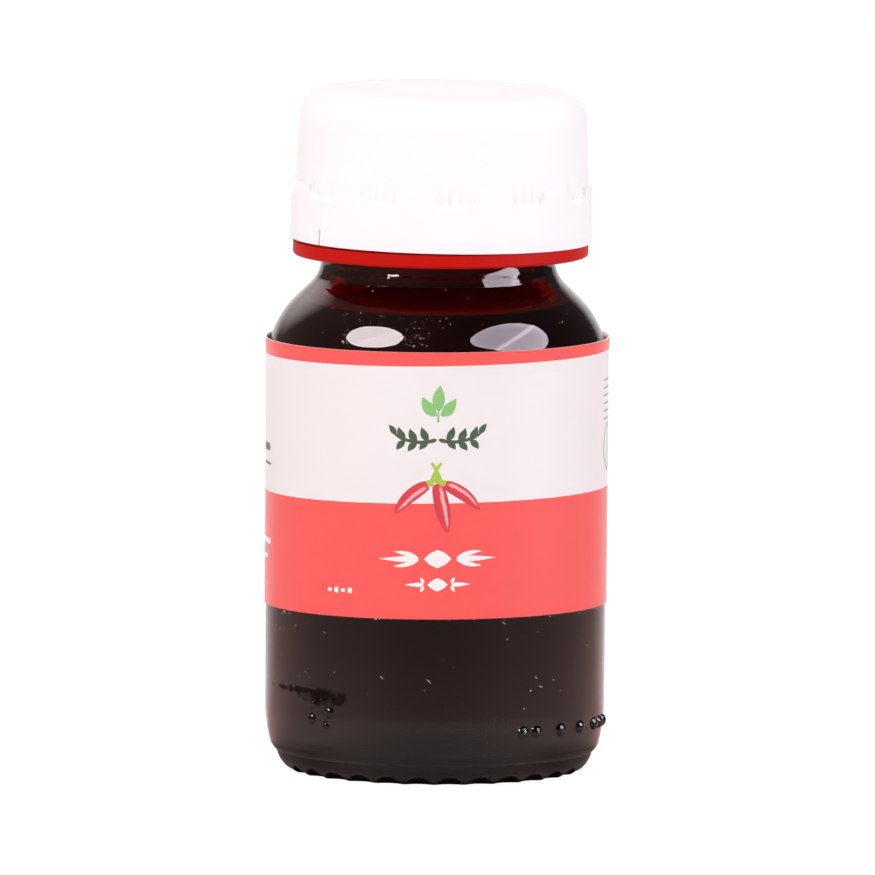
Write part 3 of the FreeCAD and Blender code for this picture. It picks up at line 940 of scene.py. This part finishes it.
# ---- operators: dust ----
def glass_place(glass, turn, height):
    """Places on the glass at a turn and a height, and the outward direction there.

    The radius comes from the section of the wall and shoulder, and the direction
    from the section's slope over a short way up and down.
    """
    short = 0.05
    shoulder = shoulder_profile(glass, 0.0, 24)
    heights = np.concatenate([[0.0, glass.shoulder_start / MM - 0.01], shoulder[:, 1]])
    radii = np.concatenate([[glass.body_radius / MM] * 2, shoulder[:, 0]])
    radius, over, under = (np.interp(height + step, heights, radii) for step in (0.0, short, -short))
    outward = np.stack([np.sin(turn), -np.cos(turn), (under - over) / (2.0 * short)], axis=-1)
    outward /= np.linalg.norm(outward, axis=-1, keepdims=True)
    return np.stack([radius * np.sin(turn), -radius * np.cos(turn), height], axis=-1), outward


def speck_sheets(glass, turn, height, size, chance):
    """A low dome on the glass for every speck.

    A dome's place at (k, a) is centre + size k uneven (across cos a + up sin a)
    + outward size (0.5 - 0.7 k^2), with k from 0 in the middle to 1 at the rim.
    """
    centre, outward = glass_place(glass, turn, height)
    across = np.stack([np.cos(turn), np.sin(turn), np.zeros_like(turn)], axis=-1)
    up = np.cross(outward, across)
    k = np.linspace(1.0, 0.0, 4)
    a = np.linspace(0.0, FULL_TURN, 7, endpoint=False)
    ragged = 0.35
    uneven = 1.0 + ragged * chance.standard_normal((len(turn), 1, len(a))).clip(-1.5, 1.5)
    reach = size[:, None, None] * k[None, :, None] * uneven
    along = reach * np.cos(a)
    rise = reach * np.sin(a)
    thick = size[:, None, None] * (0.5 - 0.7 * k[None, :, None] ** 2) + 0.0 * along
    places = centre[:, None, None, :] + along[..., None] * across[:, None, None, :]
    places = places + rise[..., None] * up[:, None, None, :] + thick[..., None] * outward[:, None, None, :]
    chart = np.stack([along, rise], axis=-1)
    return [(places[index], chart[index]) for index in range(len(turn))]


# Groups of specks: share of them all, turns in degrees, heights in mm, share of the largest size.
SPECKS = (
    (0.294, (-36.0, -3.0), (45.3, 46.7), 0.80),
    (0.134, (-40.0, 6.0), (46.4, 48.3), 0.62),
    (0.107, (-90.0, 90.0), (45.6, 51.0), 0.75),
    (0.160, (-85.0, 85.0), (7.5, 16.6), 0.80),
    (0.187, (90.0, 270.0), (7.5, 51.0), 0.80),
    (0.118, (-88.0, 88.0), (17.22, 17.34), 0.80),
)

# Ends of the fibres that cling to the wall: way round the glass and height, in mm.
FIBRES = (
    ((-19.3, 17.30), (-18.7, 16.85)),
    ((-19.0, 17.10), (-19.5, 16.70)),
    ((-18.2, 16.95), (-17.7, 17.02)),
    ((7.05, 17.05), (7.45, 16.80)),
    ((-0.85, 11.15), (-0.40, 10.75)),
    ((11.0, 11.20), (11.25, 10.95)),
    ((11.5, 10.20), (12.0, 10.05)),
    ((-5.7, 11.4), (-5.3, 11.1)),
    ((-26.0, 12.9), (-25.2, 12.4)),
    ((31.0, 13.6), (31.7, 13.1)),
    ((47.0, 9.7), (46.5, 9.0)),
)


class BOTTLE_OT_dust(bpy.types.Operator):
    """Scatter the dust specks and a few fibres over the glass"""

    bl_idname = "bottle.dust"
    bl_label = "Dust"

    def execute(self, context):
        glass, dust = context.scene.bottle_glass, context.scene.bottle_dust
        chance = np.random.default_rng(SEED)
        turns, heights, sizes = [], [], []
        for part, (left, right), (low, high), largest in SPECKS:
            count = round(part * dust.specks)
            turns.append(np.radians(chance.uniform(left, right, count)) % FULL_TURN)
            heights.append(chance.uniform(low, high, count))
            sizes.append(dust.largest / MM * largest * (0.35 + 0.65 * chance.random(count) ** 2.2))
        heights = np.concatenate(heights)
        on_label = (heights > LABEL_LOW) & (heights < LABEL_HIGH)
        heights = np.where(on_label, LABEL_HIGH + 0.2 + 0.2 * (heights - LABEL_LOW), heights)
        material = dust_tone(dust)
        sheets = speck_sheets(glass, np.concatenate(turns), heights, np.concatenate(sizes), chance)
        add_piece("dust_specks", sheets, material, closed=True)
        fibres = []
        for start, end in FIBRES:
            start, end = np.array(start), np.array(end)
            middle = (start + end) / 2.0 + chance.uniform(-0.12, 0.12, 2)
            fibres.append(stalk(start, middle, end, 0.030, 0.018))
        sheets = wrap_all(fibres, glass.body_radius / MM, 0.02, 0.0)
        add_piece("dust_fibres", sheets, material)
        return {"FINISHED"}


# ---- operator: the stage ----
def direction(turn_degrees, elevation_degrees):
    """A unit vector from the bottle, by turn and elevation."""
    turn, rise = math.radians(turn_degrees), math.radians(elevation_degrees)
    return np.array([math.sin(turn) * math.cos(rise), -math.cos(turn) * math.cos(rise), math.sin(rise)])


def aim(thing, towards):
    """Turns a lamp or camera so that it looks along a direction."""
    thing.rotation_mode = "QUATERNION"
    thing.rotation_quaternion = Vector(towards).to_track_quat("-Z", "Y")


def hide_from(thing, *rays):
    """Hides a thing from the named kinds of ray."""
    for ray in rays:
        setattr(thing, "visible_" + ray, False)


def softbox_lamp(name, place, size, level, tone):
    """An area lamp of a given radiance.  Its power is level x pi x area."""
    lamp = bpy.data.lights.new(name, "AREA")
    lamp.shape = "RECTANGLE"
    lamp.size, lamp.size_y = size
    lamp.energy = level * math.pi * size[0] * size[1]
    lamp.color = tone
    thing = bpy.data.objects.new(name, lamp)
    bpy.context.scene.collection.objects.link(thing)
    way = direction(*place)
    thing.location = way * bpy.context.scene.bottle_studio.lamp_distance
    aim(thing, -way)
    hide_from(thing, "camera", "glossy", "transmission")


def softbox_card(name, place, size, roll, level, tone, shade, taper=0.0):
    """The softbox as gloss sees it: an oval panel that lights nothing else.

    A place of the panel is centre + k (w/2 cos a, h/2 sin a (1 + taper cos a)), turned
    by the roll.  The cloth is duller by the shade, but for a slanting fold and its rim.
    """
    distance = bpy.context.scene.bottle_studio.lamp_distance
    way = direction(*place)
    across = np.cross([0.0, 0.0, 1.0], way)
    across /= np.linalg.norm(across)
    up = np.cross(way, across)
    lean = math.radians(roll)
    cosine, sine = math.cos(lean), math.sin(lean)
    across, up = across * cosine + up * sine, up * cosine - across * sine
    k = np.linspace(0.0, 1.0, 6)[:, None]
    a = np.linspace(0.0, FULL_TURN, 64, endpoint=False)[None, :]
    side = k * size[0] / 2.0 * np.cos(a)
    rises = k * size[1] / 2.0 * np.sin(a) * (1.0 + taper * np.cos(a))
    places = way * distance + side[..., None] * across + rises[..., None] * up
    chart = np.stack([side / size[0], rises / size[1]], axis=-1)
    card = build_piece(name, [(places / MM, chart)], closed=True)
    sheet = new_finish(name + "_glow")
    along, above, _ = sheet.parts(sheet.node("ShaderNodeTexCoord", output="UV"))
    from_middle = (along * along + above * above) ** 0.5
    slant, offset = 0.8, 0.06
    beyond = along - slant * above - offset
    fold = 1.0 - abs(beyond).above(0.03, 0.075)
    rim = 0.35 * from_middle.above(0.36, 0.46)
    cloth = sheet.blend(scaled(tone, shade), scaled(tone, 1.15 * shade), beyond.above(0.0, 0.04))
    shown = sheet.blend(cloth, tone, fold.higher_of(rim))
    card.data.materials.append(sheet.finish(sheet.glow(shown, level)))
    hide_from(card, "camera", "diffuse", "transmission", "shadow")


def seen_by(sheet, *kinds):
    """1 for the named kinds of ray, such as Is Camera Ray."""
    seen = sheet.node("ShaderNodeLightPath", output=kinds[0])
    for kind in kinds[1:]:
        seen = seen.higher_of(sheet.node("ShaderNodeLightPath", output=kind))
    return seen


def studio_sky():
    """A white backdrop for the camera, even light for the bottle, and dim walls for gloss.

    Gloss meets the bright backdrop only low down behind the bottle: where the
    direction's y is over 0.9 and its z is under 0.3.  A soft glow lies behind on
    the left, within about 25 degrees of (-0.38, 0.80, 0.46).  Through the glass
    the front is brightest, and it is nearly dark low down behind.
    """
    world = bpy.data.worlds.new("studio_sky")
    bpy.context.scene.world = world
    sheet = Sheet(world)
    side, back, up = sheet.parts(sheet.node("ShaderNodeTexCoord", output="Generated"))
    light = sheet.blend((0.13, 0.125, 0.125), (0.80, 0.785, 0.79), back.above(-0.75, 1.0))
    walls = sheet.blend((0.24, 0.160, 0.150), (0.085, 0.066, 0.067), side.above(-0.9, 0.3))
    low_behind = back.above(0.84, 0.96) * (1.0 - up.above(0.15, 0.45))
    left_glow = (side * -0.38 + back * 0.80 + up * 0.46).above(0.91, 1.0)
    walls = sheet.blend(walls, (1.5, 1.30, 1.30), left_glow)
    walls = sheet.blend(walls, (1.0, 0.93, 0.92), low_behind)
    through = sheet.blend((1.0, 0.94, 0.94), (0.52, 0.49, 0.49), back.above(-0.8, 0.2))
    far_wall = back.above(0.70, 0.97) * (1.0 - up.above(0.20, 0.60))
    through = sheet.blend(through, (0.032, 0.030, 0.030), far_wall)
    shades = []
    for tone, strength in ((light, 1.0), (walls, 1.0), (through, 7.0), (WHITE, 1.0)):
        inputs = {"Color": opaque(tone), "Strength": strength}
        shades.append(sheet.node("ShaderNodeBackground", None, inputs))
    seen = shades[0]
    for kind, shade in zip(("Is Glossy Ray", "Is Transmission Ray", "Is Camera Ray"), shades[1:]):
        seen = sheet.mixed(seen, shade, seen_by(sheet, kind))
    sheet.finish(seen)


def studio_floor():
    """A pale floor that keeps a soft shadow; gloss sees it by turn and distance.

    The tone of gloss is a ramp over (1 - cos turn) / 2, from the front to the
    back, times a ramp over the distance from the axis, dark at the bottle's foot:
    a painted shadow that gloss sees.
    One ramp of distance is for the front and one for the sides and the back, both
    as shares of the span.  The tone is doubled but for the floor close by at the
    sides and the back, and light through the glass meets it dimmed.
    """
    half, below, span, dimmed = 6000.0, 0.01, 250.0, 0.2
    corner = np.linspace(-half, half, 13)
    across, back = np.meshgrid(corner, corner, indexing="xy")
    places = np.stack([across, back, 0.0 * across - below], axis=-1)
    floor = build_piece("studio_floor", [(places, places[..., :2] / (2.0 * half))])
    sheet = new_finish("studio_floor_finish")
    place = sheet.stretched(sheet.place_mm(), LEVEL)
    distance = sheet.vector("LENGTH", place, output="Value")
    behind = sheet.parts(sheet.vector("NORMALIZE", place))[1]
    by_turn = sheet.ramp(behind * 0.5 + 0.5, [
        (0.00, (0.37, 0.315, 0.300)),
        (0.15, (0.56, 0.420, 0.400)),
        (0.55, (0.70, 0.480, 0.460)),
        (0.82, (0.74, 0.460, 0.430)),
        (0.95, (1.00, 0.850, 0.840)),
        (1.00, (1.00, 0.960, 0.955)),
    ])
    far = ((0.34, 0.66), (0.53, 0.50), (0.80, 0.44))
    # Painted shadow: both ramps of distance are nearly black out to the bottle's foot.
    in_front = ((0.058, 0.03), (0.062, 0.50), (0.085, 0.84), (0.16, 1.00), *far)
    at_sides = ((0.058, 0.03), (0.064, 0.34), (0.16, 0.60), (0.34, 0.57), *far[1:])
    reaches = [
        sheet.ramp(distance / span, [(at, (grey,) * 3) for at, grey in stops])
        for stops in (in_front, at_sides)
    ]
    by_reach = sheet.blend(*reaches, behind.above(-0.7, 0.2))
    near_sides = behind.above(-0.95, -0.5) * (1.0 - distance.above(19.0, 27.0))
    tone = sheet.stretched(sheet.stretched(by_turn, by_reach), 2.0 - 1.2 * near_sides)
    paper = sheet.node("ShaderNodeBsdfDiffuse", None, {"Color": (0.86, 0.855, 0.86, 1.0)})
    mirrored = sheet.mixed(sheet.glow(tone), sheet.glow(tone, dimmed), seen_by(sheet, "Is Transmission Ray"))
    gloss = seen_by(sheet, "Is Glossy Ray", "Is Transmission Ray")
    under = sheet.mixed(paper, mirrored, gloss)
    bleached = 0.88 * seen_by(sheet, "Is Camera Ray")
    floor.data.materials.append(sheet.finish(sheet.mixed(under, sheet.glow(WHITE, 1.07), bleached)))


class BOTTLE_OT_stage(bpy.types.Operator):
    """Set up the camera, the lamps, the floor and the sky"""

    bl_idname = "bottle.stage"
    bl_label = "Studio"

    def execute(self, context):
        studio = context.scene.bottle_studio
        lens = bpy.data.cameras.new("studio_camera")
        lens.lens, lens.sensor_width = studio.lens, 36.0
        lens.clip_start, lens.clip_end = 0.1, 20.0
        camera = bpy.data.objects.new("studio_camera", lens)
        context.scene.collection.objects.link(camera)
        way = direction(0.0, math.degrees(studio.elevation))
        camera.location = np.array([studio.aim_side, 0.0, studio.aim_height]) + way * studio.distance
        aim(camera, -way)
        roll = Matrix.Rotation(studio.roll, 4, "Z").to_quaternion()
        camera.rotation_quaternion = camera.rotation_quaternion @ roll
        context.scene.camera = camera
        rosy, cool = (1.0, 0.955, 0.955), (0.965, 0.955, 1.0)
        softbox_lamp("left_softbox", (-47.7, 43.0), (0.95, 0.52), studio.left_level, rosy)
        softbox_lamp("right_softbox", (60.0, 36.0), (1.4, 0.75), studio.right_level, cool)
        warm, violet = (1.0, 0.86, 0.88), (1.0, 0.86, 1.0)
        left, right = studio.left_card, studio.right_card
        softbox_card("left_card", (-54.7, 42.6), (0.80, 0.53), 11.8, left, warm, 0.78)
        softbox_card("right_card", (62.7, 40.3), (1.20, 0.70), -12.2, right, violet, 0.54, 0.22)
        softbox_card("left_low_card", (-45.5, 19.5), (0.26, 0.10), -14.0, left, warm, 0.80)
        softbox_card("right_low_card", (66.0, 18.0), (1.00, 0.42), -18.0, right, violet, 0.60, 0.35)
        studio_sky()
        studio_floor()
        context.scene.view_settings.view_transform = "Standard"
        return {"FINISHED"}


# ---- panel and registration ----
class BOTTLE_PT_pieces(bpy.types.Panel):
    """Lists the steps that dress the bottle"""

    bl_idname = "BOTTLE_PT_pieces"
    bl_label = "Chilli Oil Bottle"
    bl_space_type = "VIEW_3D"
    bl_region_type = "UI"
    bl_category = "Bottle"

    def draw(self, context):
        column = self.layout.column(align=True)
        for operator in OPERATORS:
            column.operator(operator.bl_idname)


SETTINGS = {
    "bottle_glass": GlassSettings,
    "bottle_oil": OilSettings,
    "bottle_label": LabelSettings,
    "bottle_print": PrintSettings,
    "bottle_closure": ClosureSettings,
    "bottle_dust": DustSettings,
    "bottle_studio": StudioSettings,
}
OPERATORS = (
    BOTTLE_OT_stage,
    BOTTLE_OT_glass,
    BOTTLE_OT_oil,
    BOTTLE_OT_label,
    BOTTLE_OT_closure,
    BOTTLE_OT_sprig,
    BOTTLE_OT_garland,
    BOTTLE_OT_chillies,
    BOTTLE_OT_rules,
    BOTTLE_OT_side_marks,
    BOTTLE_OT_dust,
)


def register():
    """Makes the settings, the operators and the panel known to Blender."""
    for name, group in SETTINGS.items():
        bpy.utils.register_class(group)
        setattr(bpy.types.Scene, name, bpy.props.PointerProperty(type=group))
    for made in (*OPERATORS, BOTTLE_PT_pieces):
        bpy.utils.register_class(made)


def unregister():
    """Takes back what register made known."""
    for made in (BOTTLE_PT_pieces, *reversed(OPERATORS)):
        bpy.utils.unregister_class(made)
    for name, group in SETTINGS.items():
        delattr(bpy.types.Scene, name)
        bpy.utils.unregister_class(group)


def main():
    """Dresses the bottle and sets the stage."""
    register()
    for operator in OPERATORS:
        category, name = operator.bl_idname.split(".")
        getattr(getattr(bpy.ops, category), name)()


if __name__ == "__main__":
    main()
